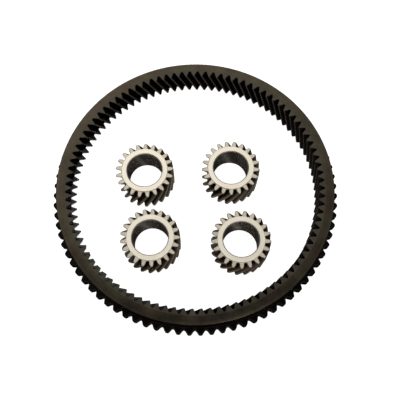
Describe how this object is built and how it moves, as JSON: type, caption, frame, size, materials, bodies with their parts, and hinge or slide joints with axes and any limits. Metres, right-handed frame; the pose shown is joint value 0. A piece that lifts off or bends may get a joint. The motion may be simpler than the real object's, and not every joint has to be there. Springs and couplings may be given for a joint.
{
  "type": "planetary gear set",
  "caption": "Helical planetary ring gear with a splined outside, and loose helical planet pinions standing inside it.",
  "frame": {"origin": "on the ring gear's axis, at the plane that the ring and the pinions stand on", "axes": "+Z is the ring's axis, upwards; +Y points to the back of the set, away from the viewer; +X to the right"},
  "size_m": [0.17, 0.17, 0.0178],
  "materials": {
    "ring_steel": "dark heat-treated steel with a worn matt face",
    "pinion_steel_back_left": "ground faces, darker machined teeth",
    "pinion_steel_back_right": "ground faces, darker machined teeth",
    "pinion_steel_front_left": "ground faces, darker machined teeth",
    "pinion_steel_front_right": "ground faces, darker machined teeth"
  },
  "bodies": {
    "ring": {"ring_gear": "ring_steel"},
    "planet_back_left": {"pinion_back_left": "pinion_steel_back_left"},
    "planet_back_right": {"pinion_back_right": "pinion_steel_back_right"},
    "planet_front_left": {"pinion_front_left": "pinion_steel_front_left"},
    "planet_front_right": {"pinion_front_right": "pinion_steel_front_right"}
  },
  "joints": [
    {"name": "spin_back_left", "type": "hinge", "parent": "ring", "child": "planet_back_left", "pos_m": [-0.0298, 0.0085, 0.0089], "axis": [0, 0, 1], "continuous": true},
    {"name": "spin_back_right", "type": "hinge", "parent": "ring", "child": "planet_back_right", "pos_m": [0.0209, 0.0101, 0.0089], "axis": [0, 0, 1], "continuous": true},
    {"name": "spin_front_left", "type": "hinge", "parent": "ring", "child": "planet_front_left", "pos_m": [-0.0254, -0.0324, 0.0089], "axis": [0, 0, 1], "continuous": true},
    {"name": "spin_front_right", "type": "hinge", "parent": "ring", "child": "planet_front_right", "pos_m": [0.026, -0.0335, 0.0089], "axis": [0, 0, 1], "continuous": true}
  ]
}
